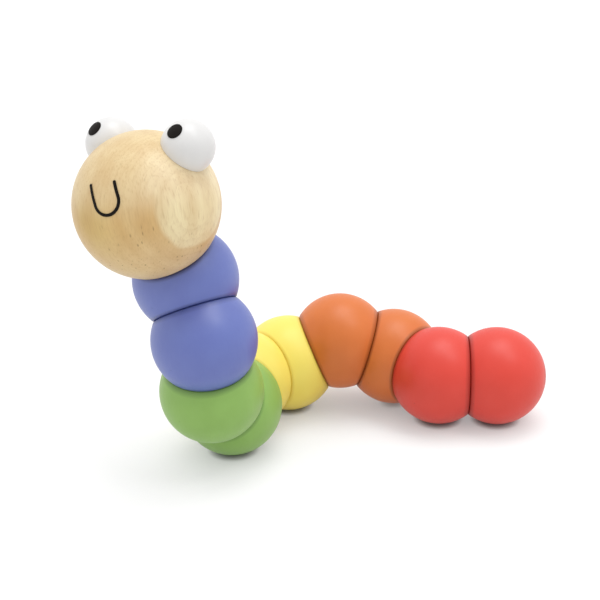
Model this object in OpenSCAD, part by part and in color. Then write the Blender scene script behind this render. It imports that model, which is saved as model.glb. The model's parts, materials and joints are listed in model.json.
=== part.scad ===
/* [Body beads] */
// Diameter of a round body bead
bead_d = 30; // [29:0.5:36]
// Diameter of the last bead, at the tail
tail_d = 30; // [29:0.5:36]
// Diameter of the flat sawn on a bead where it meets the next one
flat_d = 24.2; // [20:0.2:25]
// Angle between the two flats of a bead, away from parallel
bend = 39.5; // [24:0.5:42]
// Width of the rim sanded off round a flat
rim_w = 0.8; // [0.3:0.1:2]
// Slope of that sanded rim against the flat
rim_slope = 30; // [20:1:40]
// Gap left between two flats, so that they turn
seam = 0.1; // [0.05:0.05:0.3]

/* [Head] */
// Diameter of the head ball
head_d = 40.2; // [36:0.2:48]
// Diameter of the flats where the head meets the first bead
neck_flat_d = 22.8; // [18:0.2:24]

/* [Eyes] */
// Diameter of an eye ball
eye_d = 14.6; // [14.2:0.1:18]
// Width that an eye ball stands out round the flat that it is glued on
eye_rim = 0.4; // [0.2:0.1:2]
// Turn of each eye about the neck line, away from the top of the face
eye_side = 55; // [40:1:75]
// Rise of each eye above the head's girth, towards the face
eye_rise = 36; // [20:0.5:50]
// Diameter of the painted pupil
pupil_d = 4.4; // [2:0.2:7]
// Turn of a pupil towards the smile, away from straight ahead
pupil_drop = 19.5; // [0:0.5:40]
// Turn of a pupil outwards
pupil_out = 6; // [0:1:30]
// Diameter of the dowel that holds an eye
dowel_d = 5; // [3:0.5:7]
// Depth of the dowel in the head
dowel_in_head = 7; // [4:0.5:9]
// Depth of the dowel in the eye
dowel_in_eye = 4; // [2:0.5:6]

/* [Smile] */
// Width of the smile between the middles of its two legs
smile_w = 7.2; // [5:0.1:10]
// Length of the straight leg of the smile on the side of the left eye
smile_left_leg = 5.8; // [1:0.2:8]
// Length of the straight leg of the smile on the side of the right eye
smile_right_leg = 4; // [1:0.2:8]
// Width of the painted line
smile_line = 0.8; // [0.5:0.1:1.6]
// Rise of the middle of the smile above the head's girth, towards the face
smile_rise = 42; // [30:0.5:60]
// Turn of the smile about the neck line, away from the bottom of the face
smile_side = 17; // [-20:1:20]
// Tilt of the smile on the wood
smile_tilt = 13.5; // [-20:0.5:20]
// Thickness of the painted marks
paint_t = 0.12; // [0.06:0.02:0.3]

/* [Elastic cord] */
// Diameter of the elastic cord
cord_d = 2.5; // [1.5:0.1:2.8]
// Diameter of the two holes that meet in the middle of a bead
bore_d = 6; // [5.6:0.2:8]
// Gap left beside the cord where it rounds the corner between the holes
cord_gap = 0.3; // [0.1:0.05:0.5]
// Diameter of the straight hole that the cord is pulled through at each end
end_hole_d = 3.5; // [3:0.1:4.5]
// Diameter of the knot at each end of the cord
knot_d = 6; // [5:0.2:7]
// Length of a knot
knot_l = 5; // [3:0.5:6]

/* [Plugs] */
// Diameter of the wooden plug at each end of the cord
plug_d = 8; // [7.4:0.2:11]
// Length of the bored plug in the head
head_plug_l = 8; // [5:0.5:10]
// Depth of the tail plug
tail_plug_l = 4.5; // [3:0.5:6]
// Free length of hole that a knot lies in
knot_room = 6.5; // [6.2:0.1:9]
// Gap round and under what is glued or painted on
glue_gap = 0.05; // [0.02:0.01:0.1]

/* [Swivels, tail to head] */
// Turn of the rear orange bead on the front red bead
turn_orange_rear = -153.5; // [-180:0.1:180]
// Turn of the front orange bead on the rear orange bead
turn_orange_front = -89.1; // [-180:0.1:180]
// Turn of the rear yellow bead on the front orange bead
turn_yellow_rear = 102.8; // [-180:0.1:180]
// Turn of the front yellow bead on the rear yellow bead
turn_yellow_front = -34.9; // [-180:0.1:180]
// Turn of the rear green bead on the front yellow bead
turn_green_rear = 102.2; // [-180:0.1:180]
// Turn of the front green bead on the rear green bead
turn_green_front = -16.1; // [-180:0.1:180]
// Turn of the rear blue bead on the front green bead
turn_blue_rear = 41; // [-180:0.1:180]
// Turn of the front blue bead on the rear blue bead
turn_blue_front = 154.9; // [-180:0.1:180]
// Turn of the head on the front blue bead
turn_head = 144; // [-180:0.1:180]

/* [Hidden] */
$fn = 96;
COLOURS = ["red", "orange", "yellow", "green", "blue"];
ENDS = ["rear", "front"];
PAINTS = ["#de5449", "#d88050", "#f9e678", "#88ad5f", "#6677bc"];
BEECH = "#e3c391";
WHITE = "#f2f1ee";
BLACK = "#1c1a1b";
ELASTIC = "#ece8dc";

// Places along the worm: 0 is the tail bead and HEAD the head ball
HEAD = 2 * len(COLOURS);
FEET = [6, 5, 0];
function bead_name(k) = str(COLOURS[floor(k / 2)], "_", ENDS[k % 2], "_bead");
function cord_name(k) = k == HEAD ? "cord_in_head" : str("cord_in_", COLOURS[floor(k / 2)], "_", ENDS[k % 2]);

bead_r = bead_d / 2;
tail_r = tail_d / 2;
head_r = head_d / 2;
eye_r = eye_d / 2;
eye_flat_d = eye_d - 2 * eye_rim;
function flat_depth(ball_r, d) = sqrt(ball_r * ball_r - d * d / 4);
bead_half = flat_depth(bead_r, flat_d);
tail_half = flat_depth(tail_r, flat_d);
neck_half = flat_depth(bead_r, neck_flat_d);
head_half = flat_depth(head_r, neck_flat_d);
eye_seat = flat_depth(head_r, eye_flat_d);
eye_half = flat_depth(eye_r, eye_flat_d);
eye_reach = eye_seat + glue_gap + eye_half;
bore_end = bead_d;
corner_half = ((bore_d - cord_d) / 2 - cord_gap) / tan(bend / 4);

function ball_r(k) = k == 0 ? tail_r : k == HEAD ? head_r : bead_r;
function rear_half(k) = k == HEAD ? head_half : bead_half;
function front_half(k) = k == 0 ? tail_half : k == HEAD - 1 ? neck_half : bead_half;
function front_flat(k) = k == HEAD - 1 ? neck_flat_d : flat_d;

// The pose, as frames whose origin is a ball's centre and whose z runs to the next ball
function turned(a) = [[cos(a), -sin(a), 0, 0], [sin(a), cos(a), 0, 0], [0, 0, 1, 0], [0, 0, 0, 1]];
function bent(a) = [[cos(a), 0, sin(a), 0], [0, 1, 0, 0], [-sin(a), 0, cos(a), 0], [0, 0, 0, 1]];
function along(l) = [[1, 0, 0, 0], [0, 1, 0, 0], [0, 0, 1, l], [0, 0, 0, 1]];
TURNS = [0, 0, turn_orange_rear, turn_orange_front, turn_yellow_rear, turn_yellow_front,
    turn_green_rear, turn_green_front, turn_blue_rear, turn_blue_front, turn_head];
function step(k) = along(front_half(k - 1) + seam + rear_half(k)) * turned(TURNS[k])
    * bent(k == HEAD ? 0 : bend);
function chain(k) = k == 0 ? [turned(0)] : let (c = chain(k - 1)) concat(c, [c[k - 1] * step(k)]);
FRAMES = chain(HEAD);
function origin(m) = [m[0][3], m[1][3], m[2][3]];
function across(az, el) = [cos(el) * cos(az), cos(el) * sin(az), sin(el)];
function point(m, v) = let (p = m * [v[0], v[1], v[2], 1]) [p[0], p[1], p[2]];
function unit(v) = v / norm(v);

// The floor is the plane that touches three balls from below
foot = [for (k = FEET) origin(FRAMES[k])];
foot_r = [for (k = FEET) ball_r(k)];
side_a = foot[1] - foot[0];
side_b = foot[2] - foot[0];
plane_x = unit(side_a);
plane_y = unit(side_b - (side_b * plane_x) * plane_x);
plane_z = cross(plane_x, plane_y);
lean_x = (foot_r[1] - foot_r[0]) / norm(side_a);
lean_y = ((foot_r[2] - foot_r[0]) - lean_x * (side_b * plane_x)) / (side_b * plane_y);
lean_z = sqrt(1 - lean_x * lean_x - lean_y * lean_y);
head_side = (origin(FRAMES[HEAD]) - foot[0]) * plane_z > 0 ? 1 : -1;
up = lean_x * plane_x + lean_y * plane_y + head_side * lean_z * plane_z;
row_x = unit(side_b - (side_b * up) * up);
row_y = cross(up, row_x);
LEVEL = [[row_x[0], row_x[1], row_x[2], 0], [row_y[0], row_y[1], row_y[2], 0],
    [up[0], up[1], up[2], 0], [0, 0, 0, 1]];

// Every ball's centre and radius, to put the origin under the middle of the worm
function eye_centre(s) = eye_reach * across(s * eye_side, eye_rise);
BALLS = concat([for (k = [0 : HEAD]) [point(LEVEL, origin(FRAMES[k])), ball_r(k)]],
    [for (s = [1, -1]) [point(LEVEL * FRAMES[HEAD], eye_centre(s)), eye_r]]);
function low(axis) = min([for (b = BALLS) b[0][axis] - b[1]]);
function high(axis) = max([for (b = BALLS) b[0][axis] + b[1]]);
shift_x = (low(0) + high(0)) / 2;
shift_y = (low(1) + high(1)) / 2;
CENTRE = [[1, 0, 0, -shift_x], [0, 1, 0, -shift_y], [0, 0, 1, -low(2)], [0, 0, 0, 1]];
function place(k) = CENTRE * LEVEL * FRAMES[k];

// What the saw and the sander take off a ball at a flat that faces +z
module flat_cut(r, half, flat) {
    rim_in = flat / 2 - rim_w;
    run = r - rim_in;
    rotate_extrude()
        polygon([[0, half], [rim_in, half], [rim_in + run, half - run * tan(rim_slope)],
            [rim_in + run, 2 * r], [0, 2 * r]]);
}

// Turns what faces +z to the rear flat of a bead
module at_rear() {
    rotate([0, -bend, 0]) rotate([180, 0, 0]) children();
}

module body_bead(k) {
    color(PAINTS[floor(k / 2)])
        multmatrix(place(k))
            difference() {
                sphere(r = bead_r);
                flat_cut(bead_r, front_half(k), front_flat(k));
                at_rear() flat_cut(bead_r, bead_half, flat_d);
                cylinder(h = bore_end, d = bore_d);
                at_rear() cylinder(h = bore_end, d = bore_d);
            }
}

module tail_bead() {
    color(PAINTS[0])
        multmatrix(place(0))
            difference() {
                sphere(r = tail_r);
                flat_cut(tail_r, tail_half, flat_d);
                translate([0, 0, -tail_r]) cylinder(h = 2 * tail_r, d = end_hole_d);
                translate([0, 0, -2 * tail_r])
                    cylinder(h = tail_r + tail_plug_l + knot_room, d = plug_d + 2 * glue_gap);
            }
}

module tail_plug() {
    color(PAINTS[0])
        multmatrix(place(0))
            intersection() {
                sphere(r = tail_r);
                translate([0, 0, -2 * tail_r]) cylinder(h = tail_r + tail_plug_l, d = plug_d);
            }
}

module head() {
    color(BEECH)
        multmatrix(place(HEAD))
            difference() {
                sphere(r = head_r);
                rotate([180, 0, 0]) flat_cut(head_r, head_half, neck_flat_d);
                translate([0, 0, -head_half - seam])
                    cylinder(h = seam + head_plug_l + knot_room, d = plug_d + 2 * glue_gap);
                for (s = [1, -1])
                    at_eye(s) {
                        translate([0, 0, eye_seat]) cylinder(h = head_r, d = head_d);
                        translate([0, 0, eye_seat - dowel_in_head - glue_gap])
                            cylinder(h = head_r, d = dowel_d + 2 * glue_gap);
                    }
            }
}

module head_plug() {
    color(BEECH)
        multmatrix(place(HEAD))
            translate([0, 0, -head_half])
                difference() {
                    cylinder(h = head_plug_l, d = plug_d);
                    translate([0, 0, -seam]) cylinder(h = head_plug_l + 2 * seam, d = end_hole_d);
                }
}

// Turns +z from the neck line to the middle of an eye
module at_eye(s) {
    rotate([0, 0, s * eye_side]) rotate([0, 90 - eye_rise, 0]) children();
}

module eye(s) {
    color(WHITE)
        multmatrix(place(HEAD))
            at_eye(s)
                translate([0, 0, eye_reach])
                    difference() {
                        sphere(r = eye_r);
                        translate([0, 0, -eye_half - eye_d]) cylinder(h = eye_d, d = 2 * eye_d);
                        translate([0, 0, -eye_half - eye_d])
                            cylinder(h = eye_d + dowel_in_eye + glue_gap, d = dowel_d + 2 * glue_gap);
                    }
}

module eye_dowel(s) {
    color(BEECH)
        multmatrix(place(HEAD))
            at_eye(s)
                translate([0, 0, eye_seat - dowel_in_head])
                    cylinder(h = dowel_in_head + glue_gap + dowel_in_eye, d = dowel_d);
}

// A skin of paint over a ball, where the outline that faces +z falls on it
module painted(r) {
    intersection() {
        difference() {
            sphere(r = r + glue_gap + paint_t);
            sphere(r = r + glue_gap);
        }
        children();
    }
}

module pupil(s) {
    color(BLACK)
        multmatrix(place(HEAD))
            translate(eye_centre(s))
                rotate([0, -pupil_drop, 0]) rotate([-s * pupil_out, 0, 0])
                    painted(eye_r) cylinder(h = eye_d, d = pupil_d);
}

module smile_outline() {
    outer = (smile_w + smile_line) / 2;
    inner = (smile_w - smile_line) / 2;
    difference() {
        circle(r = outer);
        circle(r = inner);
        translate([-head_d, 0]) square([2 * head_d, head_d]);
    }
    for (leg = [[-smile_w / 2, smile_left_leg], [smile_w / 2, smile_right_leg]])
        translate([leg[0], 0]) {
            translate([-smile_line / 2, 0]) square([smile_line, leg[1]]);
            translate([0, leg[1]]) circle(d = smile_line);
        }
}

module smile() {
    middle = (smile_left_leg + smile_right_leg - smile_w) / 4;
    color(BLACK)
        multmatrix(place(HEAD))
            rotate([0, 0, 180 + smile_side])
                rotate([0, 90 - smile_rise, 0])
                    rotate([0, 0, 90 + smile_tilt])
                        painted(head_r)
                            linear_extrude(height = head_d)
                                translate([0, -middle]) smile_outline();
}

// The cord in a bead rounds the corner between the two holes and runs straight to each flat
module bent_cord(k) {
    bend_half = min(corner_half, bead_half, front_half(k));
    bend_r = bend_half / tan(bend / 2);
    color(ELASTIC)
        multmatrix(place(k)) {
            rotate([0, -bend, 0])
                translate([0, 0, -bend_half])
                    rotate([90, 0, 0]) translate([bend_r, 0, 0]) mirror([1, 0, 0])
                        rotate_extrude(angle = bend) translate([bend_r, 0]) circle(d = cord_d);
            cord_run(bend_half, front_half(k));
            at_rear() cord_run(bend_half, bead_half);
        }
}

// A straight run is a hair thinner than the bend that it starts in
module cord_run(from, to) {
    if (to > from)
        translate([0, 0, from - seam]) cylinder(h = to - from + seam, d = cord_d - glue_gap);
}

// A knot whose flat end is at the origin, with the cord running on to -z
module knotted_cord(l) {
    knot_r = knot_d / 2;
    slope = knot_l / 4;
    rotate_extrude()
        polygon([[0, -l], [cord_d / 2, -l], [cord_d / 2, 0], [knot_r - slope, 0], [knot_r, slope],
            [knot_r, knot_l - slope], [knot_r - slope, knot_l], [0, knot_l]]);
}

module head_cord() {
    color(ELASTIC)
        multmatrix(place(HEAD))
            translate([0, 0, -head_half + head_plug_l + glue_gap])
                knotted_cord(head_plug_l + glue_gap);
}

module tail_cord() {
    shoulder = -tail_r + tail_plug_l + knot_room;
    color(ELASTIC)
        multmatrix(place(0))
            translate([0, 0, shoulder - glue_gap]) rotate([180, 0, 0])
                knotted_cord(tail_half - shoulder + glue_gap);
}

head();
eye(1);  // left_eye
eye(-1);  // right_eye
pupil(1);  // left_pupil
pupil(-1);  // right_pupil
smile();
eye_dowel(1);  // left_eye_dowel
eye_dowel(-1);  // right_eye_dowel
head_plug();
tail_plug();
tail_bead();
for (k = [1 : HEAD - 1])
    body_bead(k);
tail_cord();
for (k = [1 : HEAD - 1])
    bent_cord(k);
head_cord();
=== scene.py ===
import json
import math

import bpy
from mathutils import Matrix, Vector

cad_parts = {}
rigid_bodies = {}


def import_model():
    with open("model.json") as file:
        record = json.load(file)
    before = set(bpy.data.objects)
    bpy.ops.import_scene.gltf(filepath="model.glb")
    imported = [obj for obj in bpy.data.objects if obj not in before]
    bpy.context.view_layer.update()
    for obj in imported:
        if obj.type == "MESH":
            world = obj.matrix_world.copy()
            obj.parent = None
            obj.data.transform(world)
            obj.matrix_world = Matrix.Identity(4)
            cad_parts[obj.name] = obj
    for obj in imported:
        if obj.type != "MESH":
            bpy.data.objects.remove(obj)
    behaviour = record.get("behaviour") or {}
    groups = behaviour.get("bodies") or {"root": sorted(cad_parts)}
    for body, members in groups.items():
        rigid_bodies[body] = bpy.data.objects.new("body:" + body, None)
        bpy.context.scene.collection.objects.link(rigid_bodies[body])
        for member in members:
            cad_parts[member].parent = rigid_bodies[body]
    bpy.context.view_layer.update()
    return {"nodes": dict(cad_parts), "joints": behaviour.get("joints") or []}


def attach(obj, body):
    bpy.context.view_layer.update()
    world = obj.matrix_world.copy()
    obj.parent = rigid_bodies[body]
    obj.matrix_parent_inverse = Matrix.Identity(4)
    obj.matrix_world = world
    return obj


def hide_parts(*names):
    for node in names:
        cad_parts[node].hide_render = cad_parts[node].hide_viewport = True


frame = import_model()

# ---------------------------------------------------------------------------------------------------------
# Middle beads. Nine turned beech balls of 30 mm, each with two sawn flats that lean towards one another, and
# two holes that meet in the middle. They are dipped in water-based satin paint after the saw, so the paint
# rounds the rim of each flat. The seam between two flats is the line that the eye sees.
# ---------------------------------------------------------------------------------------------------------
mm = 0.001
worm = ["red_rear", "red_front", "orange_rear", "orange_front", "yellow_rear", "yellow_front",
        "green_rear", "green_front", "blue_rear", "blue_front", "head"]
bead_radius = 15 * mm
flat_radius = 12.1 * mm
neck_flat_radius = 11.4 * mm
seam_gap = 0.1 * mm
painted_rim = 0.8 * mm
cord_hole_radius = 3 * mm
broken_edge = 0.3 * mm
# how finely the meshes are cut
flat_rings = (9 * mm, 6 * mm)
ball_rings = 44
rim_steps = 7
# rings over which the darker rim (painted seam shade with a little pooled paint) fades out
rim_shade_fade_rings = 4
ring_points = 96
turns = [2 * math.pi * i / ring_points for i in range(ring_points)]


def seam_between(lower, upper):
    """Middle of the seam between two balls, and the line that they swivel on, towards the head."""
    for joint in frame["joints"]:
        if {joint["parent"], joint["child"]} == {lower, upper}:
            return Vector(joint["pos_m"]), Vector(joint["axis"]).normalized()


def flat_depth(ball_radius, radius):
    """How far from the middle of a ball a flat of this radius lies."""
    return math.sqrt(ball_radius ** 2 - radius ** 2)


def rim_profile(depth):
    """(distance from the axis, distance along it) from the ball over the rounded rim to the flat."""
    out = math.sqrt((bead_radius - painted_rim) ** 2 - (depth - painted_rim) ** 2)
    first = math.atan2(depth - painted_rim, out)
    angles = [first + (math.pi / 2 - first) * i / rim_steps for i in range(rim_steps + 1)]
    return [(out + painted_rim * math.cos(a), depth - painted_rim + painted_rim * math.sin(a))
            for a in angles]


def ring(side, facing, along, radius):
    """Points of a circle square to facing. side is the direction that every ring of a ball shares."""
    across = side.cross(facing)
    return [facing * along + across * (radius * math.cos(t)) + side * (radius * math.sin(t))
            for t in turns]


def fading_rims(count):
    """1 at both ends of a run of rings, fading to 0 over its first and last few."""
    return [max(0.0, 1 - min(i, count - 1 - i) / rim_shade_fade_rings) for i in range(count)]


def skin(name, rings, rims):
    """A smooth closed mesh through rings of points. rims says how near each ring is to a rounded rim,
    from 0 to 1."""
    points = [p for one in rings for p in one]
    faces = []
    for i in range(len(rings)):
        this, following = i * ring_points, (i + 1) % len(rings) * ring_points
        for j in range(ring_points):
            beside = (j + 1) % ring_points
            faces.append((this + j, following + j, following + beside, this + beside))
    mesh = bpy.data.meshes.new(name)
    mesh.from_pydata(points, [], faces)
    mesh.shade_smooth()
    rim = mesh.attributes.new("rim", "FLOAT", "POINT")
    for i, value in enumerate(rims):
        for j in range(ring_points):
            rim.data[i * ring_points + j].value = value
    mesh.update()
    return mesh


def middle_bead_mesh(name, front, rear, front_depth, rear_depth):
    """Goes once round the wall of the bead: over the ball, the rear flat, the hole and the front flat."""
    side = front.cross(rear).normalized()
    back = -rear
    front_rim, rear_rim = rim_profile(front_depth), rim_profile(rear_depth)
    # every ring of the ball lies in a plane through the line where the planes of the two flats would meet
    front_reach, rear_reach = front_rim[0][1], rear_rim[0][1]
    bend = math.acos(front.dot(back))
    pinch = side.cross(front)
    hinge = front * front_reach + pinch * ((rear_reach + front_reach * math.cos(bend)) / math.sin(bend))
    rings = []
    between = [front.slerp(back, i / (ball_rings - 1)) for i in range(1, ball_rings - 1)]
    for facing in (front, *between, back):
        along = facing.dot(hinge)
        rings.append(ring(side, facing, along, math.sqrt(bead_radius ** 2 - along ** 2)))
    rims = fading_rims(ball_rings)
    for radius, along in rear_rim[1:]:
        rings.append(ring(side, back, -along, radius))
        rims.append(1)
    hole = cord_hole_radius
    for radius in (*flat_rings, hole + broken_edge):
        rings.append(ring(side, back, -rear_depth, radius))
        rims.append(0.5)
    rings.append(ring(side, back, -rear_depth + broken_edge, hole))
    # the two holes meet in a mitre at the middle of the ball
    mitre = (front + back).normalized()
    across = side.cross(front)
    rings.append([across * (hole * math.cos(t)) + side * (hole * math.sin(t))
                  - front * (hole * math.cos(t) * mitre.dot(across) / mitre.dot(front)) for t in turns])
    rings.append(ring(side, front, front_depth - broken_edge, hole))
    rims += [0, 0, 0]
    for radius in (hole + broken_edge, *reversed(flat_rings)):
        rings.append(ring(side, front, front_depth, radius))
        rims.append(0.5)
    for radius, along in reversed(front_rim[1:]):
        rings.append(ring(side, front, along, radius))
        rims.append(1)
    return skin(name, rings, rims)


def linear(sheet):
    """sRGB hex to the linear colour that the shader takes."""
    parts = [int(sheet[i:i + 2], 16) / 255 for i in (1, 3, 5)]
    return (*[p / 12.92 if p <= 0.04045 else ((p + 0.055) / 1.055) ** 2.4 for p in parts], 1)


def node(material, kind, inputs=None, **settings):
    """Adds one node, with its settings, plain values and links."""
    made = material.node_tree.nodes.new(kind)
    for key, value in settings.items():
        setattr(made, key, value)
    for key, value in (inputs or {}).items():
        if isinstance(value, bpy.types.NodeSocket):
            material.node_tree.links.new(value, made.inputs[key])
        else:
            made.inputs[key].default_value = value
    return made


# the sockets of a Mix node that is set to colour
share, under, over, mixed = 0, 6, 7, 2


def new_material(name):
    material = bpy.data.materials.new(name)
    material.use_nodes = True
    material.node_tree.nodes.clear()
    return material


def satin_paint(name, body, light, dark, shine):
    """Water-based satin paint over sanded beech: an even colour, darker at the rims of the flats, partly from
    a little pooled paint and partly as painted shade for the seams, with the grain just felt through it as
    fine ridges, a dust nib here and there, and a soft, broad sheen, which differs a little from one pigment
    to the next."""
    cloud_size, ridge_width, nib_spacing = 9 * mm, 0.6 * mm, 6 * mm
    material = new_material(name)
    place = node(material, "ShaderNodeTexCoord").outputs["Object"]
    # clouds of slightly thicker and thinner paint
    clouds = node(material, "ShaderNodeTexNoise", {"Vector": place, "Scale": 1 / cloud_size, "Detail": 3.0})
    tone = node(material, "ShaderNodeMapRange", {
        "Value": clouds.outputs["Fac"], "From Min": 0.3, "From Max": 0.7})
    base = node(material, "ShaderNodeMix", {
        share: tone.outputs[0], under: linear(body), over: linear(light)}, data_type="RGBA")
    # the rims of the flats darker: painted shade of the seams, with a little paint pooled there
    rim = node(material, "ShaderNodeAttribute", attribute_name="rim")
    seam_shade_and_pooled_paint = node(material, "ShaderNodeMapRange", {
        "Value": rim.outputs["Fac"], "From Min": 0.4, "From Max": 1.0, "To Max": 0.55})
    edge = node(material, "ShaderNodeMix", {
        share: seam_shade_and_pooled_paint.outputs[0], under: base.outputs[mixed], over: linear(dark)}, data_type="RGBA")
    # grain ridges about ten times as long as they are wide, and nibs of dust
    along = node(material, "ShaderNodeMapping", {
        "Vector": place, "Rotation": (0.5, 0.9, 0.2), "Scale": (1.0, 1.0, 0.1)})
    grain = node(material, "ShaderNodeTexNoise", {
        "Vector": along.outputs[0], "Scale": 1 / ridge_width, "Detail": 2.0})
    nibs = node(material, "ShaderNodeTexVoronoi", {"Vector": place, "Scale": 1 / nib_spacing})
    nib = node(material, "ShaderNodeMapRange", {
        "Value": nibs.outputs["Distance"], "From Min": 0.035, "From Max": 0.06, "To Min": 1.0, "To Max": 0.0})
    nib_tint = node(material, "ShaderNodeMath", {0: nib.outputs[0], 1: 0.3}, operation="MULTIPLY")
    colour = node(material, "ShaderNodeMix", {
        share: nib_tint.outputs[0], under: edge.outputs[mixed], over: linear(dark)}, data_type="RGBA")
    height = node(material, "ShaderNodeMath", {0: nib.outputs[0], 1: grain.outputs["Fac"]}, operation="ADD")
    bump = node(material, "ShaderNodeBump", {
        "Height": height.outputs[0], "Strength": 0.12, "Distance": 0.05 * mm})
    sheen = node(material, "ShaderNodeMapRange", {
        "Value": grain.outputs["Fac"], "From Min": 0.3, "From Max": 0.7, "To Min": 0.42, "To Max": 0.52})
    shader = node(material, "ShaderNodeBsdfPrincipled", {
        "Base Color": colour.outputs[mixed], "Roughness": sheen.outputs[0], "IOR": 1.5,
        "Specular IOR Level": shine, "Coat Weight": 0.15, "Coat Roughness": 0.3, "Normal": bump.outputs[0]})
    node(material, "ShaderNodeOutputMaterial", {"Surface": shader.outputs[0]})
    return material


# each pigment: its body, where it lies thin, its darker tone for the painted seam shade, pooled paint and
# dust nibs, and how strongly it shines
paint = {
    "red": satin_paint("satin red paint", "#df4031", "#e34436", "#7d1a12", 0.45),
    "orange": satin_paint("satin orange paint", "#d8722e", "#de7834", "#7d3810", 0.45),
    "yellow": satin_paint("satin yellow paint", "#fbe568", "#fde96e", "#e2c850", 0.4),
    "green": satin_paint("satin green paint", "#88b352", "#8fbb59", "#3c6427", 0.6),
    "blue": satin_paint("satin blue paint", "#5969b5", "#5f70ba", "#27326c", 0.9),
}


def stand_in_for(name, mesh, centre, material, body, cad_node):
    """Puts a piece where the CAD piece is, dressed, and riding on its body."""
    piece = bpy.data.objects.new(name, mesh)
    bpy.context.scene.collection.objects.link(piece)
    piece.matrix_world = Matrix.Translation(centre)
    mesh.materials.append(material)
    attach(piece, body)
    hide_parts(cad_node)


for before, name, after in zip(worm, worm[1:], worm[2:]):
    colour = name.split("_")[0]
    next_seam, front = seam_between(name, after)
    towards = seam_between(before, name)[1]
    front_depth = flat_depth(bead_radius, neck_flat_radius if after == "head" else flat_radius)
    rear_depth = flat_depth(bead_radius, flat_radius)
    centre = next_seam - front * (front_depth + seam_gap / 2)
    mesh = middle_bead_mesh(name + "_painted", front, -towards, front_depth, rear_depth)
    stand_in_for("painted_" + name + "_bead", mesh, centre, paint[colour], name, name + "_bead")

# ---------------------------------------------------------------------------------------------------------
# Tail bead. The last ball has one flat only. Its far pole is drilled 8 mm wide, so that the knot of the
# elastic can be tied inside, and a short plug closes that hole under the same red paint.
# ---------------------------------------------------------------------------------------------------------
plug_hole_radius = 4.05 * mm
end_hole_radius = 1.75 * mm
knot_shoulder = 4 * mm
soft_lip = 0.15 * mm
lip_bevel = 0.04 * mm
tail_ball_rings = 56
tail_flat_rings = (5 * mm, 9 * mm)
tail_depth = flat_depth(bead_radius, flat_radius)


def tail_bead_mesh(name, front):
    """Goes once round the wall of the bead: over the ball, the plug's hole, the cord's hole and the flat."""
    side = front.orthogonal().normalized()
    rim = rim_profile(tail_depth)
    first = math.asin(rim[0][1] / bead_radius)
    last = -math.acos((plug_hole_radius + soft_lip) / bead_radius)
    rings = []
    for i in range(tail_ball_rings):
        a = first + (last - first) * i / (tail_ball_rings - 1)
        rings.append(ring(side, front, bead_radius * math.sin(a), bead_radius * math.cos(a)))
    rims = fading_rims(tail_ball_rings)
    lip = bead_radius * math.sin(last)
    for radius, along in ((plug_hole_radius + lip_bevel, lip + lip_bevel),
                          (plug_hole_radius, lip + soft_lip),
                          (plug_hole_radius, -knot_shoulder),
                          (end_hole_radius, -knot_shoulder),
                          (end_hole_radius, tail_depth - broken_edge),
                          (end_hole_radius + broken_edge, tail_depth),
                          *[(radius, tail_depth) for radius in tail_flat_rings]):
        rings.append(ring(side, front, along, radius))
        rims.append(0.5)
    for radius, along in reversed(rim[1:]):
        rings.append(ring(side, front, along, radius))
        rims.append(1)
    return skin(name, rings, rims)


tail_seam, tail_front = seam_between("red_rear", "red_front")
tail_centre = tail_seam - tail_front * (tail_depth + seam_gap / 2)
stand_in_for("painted_red_rear_bead", tail_bead_mesh("red_rear_painted", tail_front), tail_centre,
             paint["red"], "red_rear", "red_rear_bead")


def dress(cad_node, material):
    """Gives a CAD piece its finish and leaves its shape as it is."""
    finishes = frame["nodes"][cad_node].data.materials
    finishes.clear()
    finishes.append(material)


dress("tail_plug", paint["red"])

# ---------------------------------------------------------------------------------------------------------
# Elastic cord. One rubber core in a braided white cover runs from the knot in the tail, through every bead,
# to the knot in the head, and its pull gives the swivels their grip. None of it shows from outside.
# ---------------------------------------------------------------------------------------------------------
strand_width = 0.4 * mm


def braided_elastic():
    """White polyester braid over latex: a matt, cross-laid cover. Its strands are drawn coarser than the
    real thread, so that they show."""
    material = new_material("braided white elastic")
    place = node(material, "ShaderNodeTexCoord").outputs["Object"]
    strands = []
    for lean in (0.8, -0.8):
        turned = node(material, "ShaderNodeMapping", {"Vector": place, "Rotation": (lean, 0.0, lean)})
        wave = node(material, "ShaderNodeTexWave", {
            "Vector": turned.outputs[0], "Distortion": 0.4, "Scale": math.pi / (10 * strand_width)})
        strands.append(wave.outputs["Fac"])
    braid = node(material, "ShaderNodeMath", {0: strands[0], 1: strands[1]}, operation="MULTIPLY")
    colour = node(material, "ShaderNodeMix", {
        share: braid.outputs[0], under: linear("#c9c3b4"), over: linear("#efece2")}, data_type="RGBA")
    bump = node(material, "ShaderNodeBump", {
        "Height": braid.outputs[0], "Strength": 0.6, "Distance": 0.1 * mm})
    shader = node(material, "ShaderNodeBsdfPrincipled", {
        "Base Color": colour.outputs[mixed], "Roughness": 0.85, "IOR": 1.5, "Normal": bump.outputs[0]})
    node(material, "ShaderNodeOutputMaterial", {"Surface": shader.outputs[0]})
    return material


elastic = braided_elastic()
for ball in worm:
    dress("cord_in_" + ball, elastic)

# ---------------------------------------------------------------------------------------------------------
# Head. A 40 mm ball of plain beech, turned with its grain nearly upright, sanded and sealed with clear satin
# lacquer. The saw left growth rings as pale arches on the side of the face, and the rays of the wood show
# as short brown ticks along the grain.
# ---------------------------------------------------------------------------------------------------------
head_radius = 20.1 * mm
neck_seam, neck = seam_between("blue_front", "head")
head_centre = neck_seam + neck * (flat_depth(head_radius, neck_flat_radius) + seam_gap / 2)

# how the ball lay in the log: out of the tree, across it and up it
out_of_tree = Vector((0.607, -0.787, 0.19)).normalized()
up_the_grain = Vector((0.10, -0.02, 1.0))
up_the_grain = (up_the_grain - out_of_tree * up_the_grain.dot(out_of_tree)).normalized()
log = Matrix((out_of_tree, up_the_grain.cross(out_of_tree), up_the_grain)).transposed()
heart_to_bark_side = 90 * mm
innermost_ring = 50 * mm
line_spacing = 1.3 * mm
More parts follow.
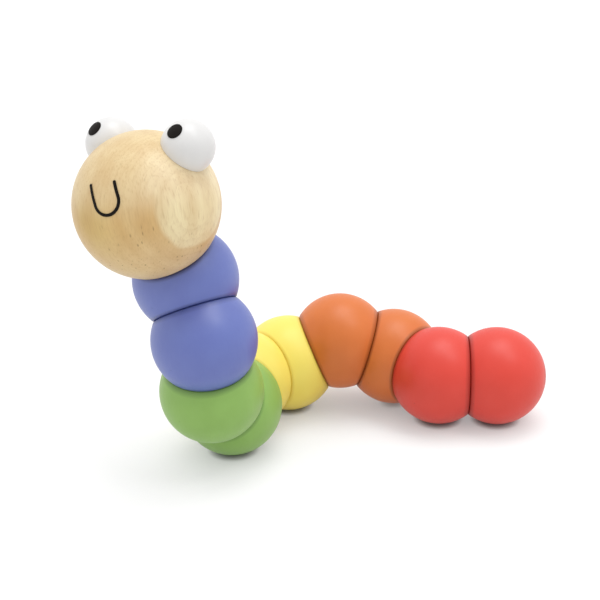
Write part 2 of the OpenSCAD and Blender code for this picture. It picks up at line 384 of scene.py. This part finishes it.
# growth rings from the inside out, as parts of the way from the innermost one to the bark side
ring_tints = ((0.20, "#dab77e"), (0.50, "#d0b06a"), (0.63, "#d9ba79"), (0.73, "#dfbe80"), (0.77, "#d9b477"),
              (0.82, "#e3c48a"), (0.87, "#dab57a"), (0.918, "#dcb87d"), (0.938, "#f0deb0"))


def lacquered_beech():
    """European beech under clear satin lacquer. The ball was cut so that one growth ring comes out on the
    right of the face as a pale oval patch, with tan latewood round it and thin arches out to the far side.
    Pores make faint upright streaks, and a few rays show as brown ticks about 1 mm long."""
    wander_size, wander_reach = 14 * mm, 4.5 * mm
    mottle_size, pore_width, ray_spacing = 6 * mm, 0.4 * mm, 1.2 * mm
    material = new_material("lacquered beech")
    place = node(material, "ShaderNodeTexCoord").outputs["Object"]
    wood = node(material, "ShaderNodeMapping", {
        "Vector": place, "Location": head_centre, "Rotation": log.to_euler()},
        vector_type="TEXTURE").outputs[0]
    # the rings wander a little along the grain
    drift = node(material, "ShaderNodeMapping", {"Vector": wood, "Scale": (1.0, 1.0, 0.4)})
    wander = node(material, "ShaderNodeTexNoise", {
        "Vector": drift.outputs[0], "Scale": 1 / wander_size, "Detail": 2.0})
    moved = node(material, "ShaderNodeVectorMath", {
        0: wander.outputs["Color"], 1: (0.5, 0.5, 0.5)}, operation="SUBTRACT")
    scaled = node(material, "ShaderNodeVectorMath", {
        0: moved.outputs[0], "Scale": wander_reach}, operation="SCALE")
    bent = node(material, "ShaderNodeVectorMath", {0: wood, 1: scaled.outputs[0]}, operation="ADD")
    # distance from the heart of the tree, which lies far behind the patch
    parts = node(material, "ShaderNodeSeparateXYZ", {0: bent.outputs[0]})
    height = parts.outputs[2]
    outward = node(material, "ShaderNodeMath", {
        0: parts.outputs[0], 1: heart_to_bark_side - head_radius}, operation="ADD")
    level = node(material, "ShaderNodeCombineXYZ", {0: outward.outputs[0], 1: parts.outputs[1], 2: 0.0})
    from_heart = node(material, "ShaderNodeVectorMath", {
        0: level.outputs[0]}, operation="LENGTH").outputs["Value"]
    growth = node(material, "ShaderNodeMapRange", {
        "Value": from_heart, "From Min": innermost_ring, "From Max": heart_to_bark_side}).outputs[0]
    ramp = node(material, "ShaderNodeValToRGB", {0: growth})
    bands = ramp.color_ramp.elements
    bands[0].color, bands[1].color = linear("#d8b378"), linear("#f2e1b4")
    for place_on_ramp, tint in ring_tints:
        bands.new(place_on_ramp).color = linear(tint)
    # up the grain the tan fades out to the palest tone above the patch: partly paler wood, partly painted
    # sheen where the overhead light falls on the top
    pale = node(material, "ShaderNodeMapRange", {"Value": growth, "From Min": 0.8, "From Max": 0.92})
    upper = node(material, "ShaderNodeMix", {
        share: pale.outputs[0], under: linear("#e6cfa1"), over: linear("#f4e3bd")}, data_type="RGBA")
    up = node(material, "ShaderNodeMapRange", {
        "Value": height, "From Min": -2 * mm, "From Max": 7.5 * mm, "To Max": 0.95},
        interpolation_type="SMOOTHSTEP")
    lightened_top = node(material, "ShaderNodeMix", {
        share: up.outputs[0], under: ramp.outputs[0], over: upper.outputs[mixed]}, data_type="RGBA")
    # and low down it turns a little greyer
    down = node(material, "ShaderNodeMapRange", {
        "Value": height, "From Min": -4 * mm, "From Max": -13 * mm, "To Max": 0.5})
    greyed = node(material, "ShaderNodeMix", {
        share: down.outputs[0], under: lightened_top.outputs[mixed], over: linear("#e3c9a0")}, data_type="RGBA")
    # thin latewood lines, strongest away from the patch
    lines = node(material, "ShaderNodeMath", {0: from_heart, 1: line_spacing}, operation="DIVIDE")
    saw = node(material, "ShaderNodeMath", {0: lines.outputs[0]}, operation="FRACT")
    line_tone = node(material, "ShaderNodeMapRange", {
        "Value": saw.outputs[0], "From Min": 0.45, "From Max": 1.0, "To Max": 0.16})
    line_here = node(material, "ShaderNodeMath", {
        0: line_tone.outputs[0], 1: wander.outputs["Fac"]}, operation="MULTIPLY")
    lined = node(material, "ShaderNodeMix", {
        share: line_here.outputs[0], under: greyed.outputs[mixed], over: linear("#b48a56")},
        data_type="RGBA")
    # soft mottling, a little longer along the grain
    mottle = node(material, "ShaderNodeTexNoise", {
        "Vector": drift.outputs[0], "Scale": 1 / mottle_size, "Detail": 3.0})
    mottle_tone = node(material, "ShaderNodeMapRange", {
        "Value": mottle.outputs["Fac"], "From Min": 0.4, "From Max": 0.7, "To Max": 0.38})
    mottled = node(material, "ShaderNodeMix", {
        share: mottle_tone.outputs[0], under: lined.outputs[mixed], over: linear("#c89f66")},
        data_type="RGBA")
    # pores, drawn out eleven times along the grain
    fibres = node(material, "ShaderNodeMapping", {"Vector": bent.outputs[0], "Scale": (1.0, 1.0, 0.09)})
    streaks = node(material, "ShaderNodeTexNoise", {
        "Vector": fibres.outputs[0], "Scale": 1 / pore_width, "Detail": 2.0})
    streak_tone = node(material, "ShaderNodeMapRange", {
        "Value": streaks.outputs["Fac"], "From Min": 0.5, "From Max": 0.8, "To Max": 0.35})
    streaked = node(material, "ShaderNodeMix", {
        share: streak_tone.outputs[0], under: mottled.outputs[mixed], over: linear("#b98f5c")},
        data_type="RGBA")
    # ticks 0.3 mm wide and four times as long, most of them low down in the tan wood
    cells = node(material, "ShaderNodeMapping", {"Vector": bent.outputs[0], "Scale": (1.0, 1.0, 0.22)})
    rays = node(material, "ShaderNodeTexVoronoi", {"Vector": cells.outputs[0], "Scale": 1 / ray_spacing})
    tick = node(material, "ShaderNodeMapRange", {
        "Value": rays.outputs["Distance"], "From Min": 0.08, "From Max": 0.22, "To Min": 1.0, "To Max": 0.0})
    lot = node(material, "ShaderNodeSeparateColor", {0: rays.outputs["Color"]})
    chosen = node(material, "ShaderNodeMapRange", {
        "Value": lot.outputs[0], "From Min": 0.25, "From Max": 0.7, "To Max": 0.8})
    low = node(material, "ShaderNodeMapRange", {
        "Value": height, "From Min": 0.0, "From Max": -5 * mm, "To Min": 0.25, "To Max": 0.9})
    in_tan = node(material, "ShaderNodeMapRange", {
        "Value": growth, "From Min": 0.945, "From Max": 0.92, "To Min": 0.4, "To Max": 1.0})
    where = node(material, "ShaderNodeMath", {0: low.outputs[0], 1: in_tan.outputs[0]}, operation="MULTIPLY")
    kept = node(material, "ShaderNodeMath", {0: chosen.outputs[0], 1: where.outputs[0]}, operation="MULTIPLY")
    ticks = node(material, "ShaderNodeMath", {0: tick.outputs[0], 1: kept.outputs[0]}, operation="MULTIPLY")
    colour = node(material, "ShaderNodeMix", {
        share: ticks.outputs[0], under: streaked.outputs[mixed], over: linear("#8e6a3b")}, data_type="RGBA")
    # the lacquer sinks a little into the pores
    bump = node(material, "ShaderNodeBump", {
        "Height": streaks.outputs["Fac"], "Strength": 0.12, "Distance": 0.05 * mm})
    satin = node(material, "ShaderNodeMapRange", {
        "Value": streaks.outputs["Fac"], "From Min": 0.3, "From Max": 0.7, "To Min": 0.38, "To Max": 0.48})
    shader = node(material, "ShaderNodeBsdfPrincipled", {
        "Base Color": colour.outputs[mixed], "Roughness": satin.outputs[0], "IOR": 1.5,
        "Specular IOR Level": 0.32, "Coat Weight": 0.1, "Coat Roughness": 0.3, "Normal": bump.outputs[0]})
    node(material, "ShaderNodeOutputMaterial", {"Surface": shader.outputs[0]})
    return material


dress("head", lacquered_beech())

# ---------------------------------------------------------------------------------------------------------
# Plug and dowels. Offcuts of the same beech, left bare where the glue takes: a bored plug in the neck that
# the knot pulls against, and a 5 mm dowel behind each eye.
# ---------------------------------------------------------------------------------------------------------
def bare_beech():
    """Bare sanded beech: drier and paler than the lacquered ball, with streaks eight times as long as they
    are wide."""
    streak_width = 0.5 * mm
    material = new_material("bare beech")
    place = node(material, "ShaderNodeTexCoord").outputs["Object"]
    fibres = node(material, "ShaderNodeMapping", {"Vector": place, "Scale": (1.0, 1.0, 0.12)})
    streaks = node(material, "ShaderNodeTexNoise", {
        "Vector": fibres.outputs[0], "Scale": 1 / streak_width, "Detail": 3.0})
    colour = node(material, "ShaderNodeMix", {
        share: streaks.outputs["Fac"], under: linear("#e6cda2"), over: linear("#c9a673")}, data_type="RGBA")
    bump = node(material, "ShaderNodeBump", {
        "Height": streaks.outputs["Fac"], "Strength": 0.3, "Distance": 0.05 * mm})
    shader = node(material, "ShaderNodeBsdfPrincipled", {
        "Base Color": colour.outputs[mixed], "Roughness": 0.7, "IOR": 1.5, "Normal": bump.outputs[0]})
    node(material, "ShaderNodeOutputMaterial", {"Surface": shader.outputs[0]})
    return material


offcut = bare_beech()
for piece in ("head_plug", "left_eye_dowel", "right_eye_dowel"):
    dress(piece, offcut)

# ---------------------------------------------------------------------------------------------------------
# Eyes. Two small turned balls dipped in white lacquer, each sanded flat on one side and glued on a flat spot
# of the head.
# ---------------------------------------------------------------------------------------------------------
def white_lacquer():
    """White nitro lacquer, rubbed to satin: clean and a little cold, with a faint orange peel that softens
    the reflections."""
    peel_size, cloud_size = 1.5 * mm, 6 * mm
    material = new_material("white lacquer")
    place = node(material, "ShaderNodeTexCoord").outputs["Object"]
    peel = node(material, "ShaderNodeTexNoise", {"Vector": place, "Scale": 1 / peel_size, "Detail": 2.0})
    clouds = node(material, "ShaderNodeTexNoise", {"Vector": place, "Scale": 1 / cloud_size, "Detail": 2.0})
    colour = node(material, "ShaderNodeMix", {
        share: clouds.outputs["Fac"], under: linear("#e6e5e4"), over: linear("#dfdedd")}, data_type="RGBA")
    bump = node(material, "ShaderNodeBump", {
        "Height": peel.outputs["Fac"], "Strength": 0.08, "Distance": 0.05 * mm})
    satin = node(material, "ShaderNodeMapRange", {
        "Value": peel.outputs["Fac"], "From Min": 0.3, "From Max": 0.7, "To Min": 0.30, "To Max": 0.38})
    shader = node(material, "ShaderNodeBsdfPrincipled", {
        "Base Color": colour.outputs[mixed], "Roughness": satin.outputs[0], "IOR": 1.5,
        "Coat Weight": 0.1, "Coat Roughness": 0.2, "Normal": bump.outputs[0]})
    node(material, "ShaderNodeOutputMaterial", {"Surface": shader.outputs[0]})
    return material


lacquer = white_lacquer()
for piece in ("left_eye", "right_eye"):
    dress(piece, lacquer)

# ---------------------------------------------------------------------------------------------------------
# Pupils and smile. Black two-part printing paint, lifted off an engraved plate with a soft rubber pad and
# pressed on over the lacquer in one film that keeps a clean edge.
# ---------------------------------------------------------------------------------------------------------
def printed_black():
    """Pad-printed paint: nearly black, with a warm cast where the film is thin, and satin rather than
    glossy."""
    film_size = 0.5 * mm
    material = new_material("printed black paint")
    place = node(material, "ShaderNodeTexCoord").outputs["Object"]
    film = node(material, "ShaderNodeTexNoise", {"Vector": place, "Scale": 1 / film_size, "Detail": 2.0})
    colour = node(material, "ShaderNodeMix", {
        share: film.outputs["Fac"], under: linear("#0e0a08"), over: linear("#19120e")}, data_type="RGBA")
    bump = node(material, "ShaderNodeBump", {
        "Height": film.outputs["Fac"], "Strength": 0.1, "Distance": 0.02 * mm})
    shader = node(material, "ShaderNodeBsdfPrincipled", {
        "Base Color": colour.outputs[mixed], "Roughness": 0.5, "IOR": 1.5, "Specular IOR Level": 0.12,
        "Normal": bump.outputs[0]})
    node(material, "ShaderNodeOutputMaterial", {"Surface": shader.outputs[0]})
    return material


black = printed_black()
for piece in ("left_pupil", "right_pupil", "smile"):
    dress(piece, black)

# ---------------------------------------------------------------------------------------------------------
# Studio. The worm stands on white paper in a white tent that fills the shadows from all round. A large
# softbox hangs overhead, and a smaller one in front, to the right, gives the beads their sheen.
# ---------------------------------------------------------------------------------------------------------
paper_half = 4.0
paper_clearance = 0.02 * mm


def direct_rays(material):
    """1 for rays from the camera or by way of a gloss or a clear material, which see a white background,
    and 0 for those that carry light to the worm."""
    path = node(material, "ShaderNodeLightPath")
    camera_or_gloss = node(material, "ShaderNodeMath", {
        0: path.outputs["Is Camera Ray"], 1: path.outputs["Is Glossy Ray"]}, operation="MAXIMUM")
    direct = node(material, "ShaderNodeMath", {
        0: camera_or_gloss.outputs[0], 1: path.outputs["Is Transmission Ray"]}, operation="MAXIMUM")
    return direct.outputs[0]


def white_paper():
    """Matt white background paper. Its fibres are drawn coarser than real ones, so that they show. What is
    seen of it directly is lifted to white, less and less so towards the worm, which keeps its shadow."""
    fibre_size, touching, around, lifted = 2 * mm, 2.5 * mm, 70 * mm, 0.58
    material = new_material("white background paper")
    place = node(material, "ShaderNodeTexCoord").outputs["Object"]
    fibre = node(material, "ShaderNodeTexNoise", {"Vector": place, "Scale": 1 / fibre_size, "Detail": 2.0})
    bump = node(material, "ShaderNodeBump", {
        "Height": fibre.outputs["Fac"], "Strength": 0.02, "Distance": 0.02 * mm})
    # seen directly, the paper is a shade over white, so that the open floor is white all over
    direct = direct_rays(material)
    tone = node(material, "ShaderNodeMix", {
        share: direct, under: linear("#e4e4e3"), over: (1.08, 1.08, 1.08, 1)}, data_type="RGBA")
    paper = node(material, "ShaderNodeBsdfDiffuse", {
        "Color": tone.outputs[mixed], "Roughness": 0.5, "Normal": bump.outputs[0]})
    # a thin dark line where a bead touches, and a wide soft shadow under the whole worm
    near = node(material, "ShaderNodeAmbientOcclusion", {"Distance": touching}, samples=16)
    clear = node(material, "ShaderNodeMapRange", {
        "Value": near.outputs["AO"], "From Min": 0.2, "From Max": 0.7})
    wide = node(material, "ShaderNodeAmbientOcclusion", {"Distance": around}, samples=16)
    soft = node(material, "ShaderNodeMapRange", {
        "Value": wide.outputs["AO"], "From Min": 0.04, "From Max": 0.76, "To Min": 0.5, "To Max": 1.0})
    open_floor = node(material, "ShaderNodeMath", {
        0: clear.outputs[0], 1: soft.outputs[0]}, operation="MULTIPLY")
    glow = node(material, "ShaderNodeEmission", {"Color": (1, 1, 1, 1), "Strength": open_floor.outputs[0]})
    lift = node(material, "ShaderNodeMath", {0: direct, 1: lifted}, operation="MULTIPLY")
    both = node(material, "ShaderNodeMixShader", {0: lift.outputs[0], 1: paper.outputs[0],
                                                  2: glow.outputs[0]})
    node(material, "ShaderNodeOutputMaterial", {"Surface": both.outputs[0]})
    return material


sheet = bpy.data.meshes.new("paper_floor")
sheet.from_pydata([(-paper_half, -paper_half, 0), (paper_half, -paper_half, 0), (paper_half, paper_half, 0),
                   (-paper_half, paper_half, 0)], [], [(0, 1, 2, 3)])
sheet.materials.append(white_paper())
floor = bpy.data.objects.new("paper_floor", sheet)
bpy.context.scene.collection.objects.link(floor)
floor.location.z = -paper_clearance

tent = bpy.data.worlds.new("white tent")
tent.use_nodes = True
tent.node_tree.nodes.clear()
# the tent is open at the front, so less light comes from there
way = node(tent, "ShaderNodeTexCoord").outputs["Generated"]
ahead = node(tent, "ShaderNodeVectorMath", {
    0: way, 1: Vector((-0.1, -0.95, 0.25)).normalized()}, operation="DOT_PRODUCT")
cloth = node(tent, "ShaderNodeMapRange", {
    "Value": ahead.outputs["Value"], "From Min": 0.2, "From Max": 0.95, "To Min": 0.93, "To Max": 0.66},
    interpolation_type="SMOOTHSTEP")
strength = node(tent, "ShaderNodeMapRange", {
    "Value": direct_rays(tent), "To Min": cloth.outputs[0], "To Max": 1.0})
wall = node(tent, "ShaderNodeBackground", {"Color": (1, 1, 1, 1), "Strength": strength.outputs[0]})
node(tent, "ShaderNodeOutputWorld", {"Surface": wall.outputs[0]})
bpy.context.scene.world = tent

# each softbox: its strength, how many degrees of the sky it fills, and where it hangs as seen from the worm
for name, energy, degrees_across, hangs in (("overhead_softbox", 1.05, 34, (0.14, 0.10, 1.0)),
                                            ("front_softbox", 0.36, 16, (0.36, -0.34, 0.87))):
    lamp = bpy.data.lights.new(name, "SUN")
    lamp.energy = energy
    lamp.angle = math.radians(degrees_across)
    softbox = bpy.data.objects.new(name, lamp)
    bpy.context.scene.collection.objects.link(softbox)
    softbox.rotation_euler = Vector(hangs).to_track_quat("Z", "Y").to_euler()

# ---------------------------------------------------------------------------------------------------------
# Camera. An 82 mm lens 0.4 m from the middle of the worm and 90 mm higher than its head. It looks down at 22
# degrees, and is tilted sideways by one.
# ---------------------------------------------------------------------------------------------------------
lens = bpy.data.cameras.new("camera")
lens.sensor_width = 36
lens.lens = 81.75
lens.clip_start = 0.01
camera = bpy.data.objects.new("camera", lens)
bpy.context.scene.collection.objects.link(camera)
heading, downward, roll = math.radians(78.304), math.radians(22.225), math.radians(-1.022)
camera.matrix_world = (Matrix.Translation((-0.0811, -0.3653, 0.1970))
                       @ Matrix.Rotation(heading - math.pi / 2, 4, "Z")
                       @ Matrix.Rotation(math.pi / 2 - downward, 4, "X")
                       @ Matrix.Rotation(roll, 4, "Z"))
bpy.context.scene.camera = camera
bpy.context.scene.view_settings.view_transform = "Standard"
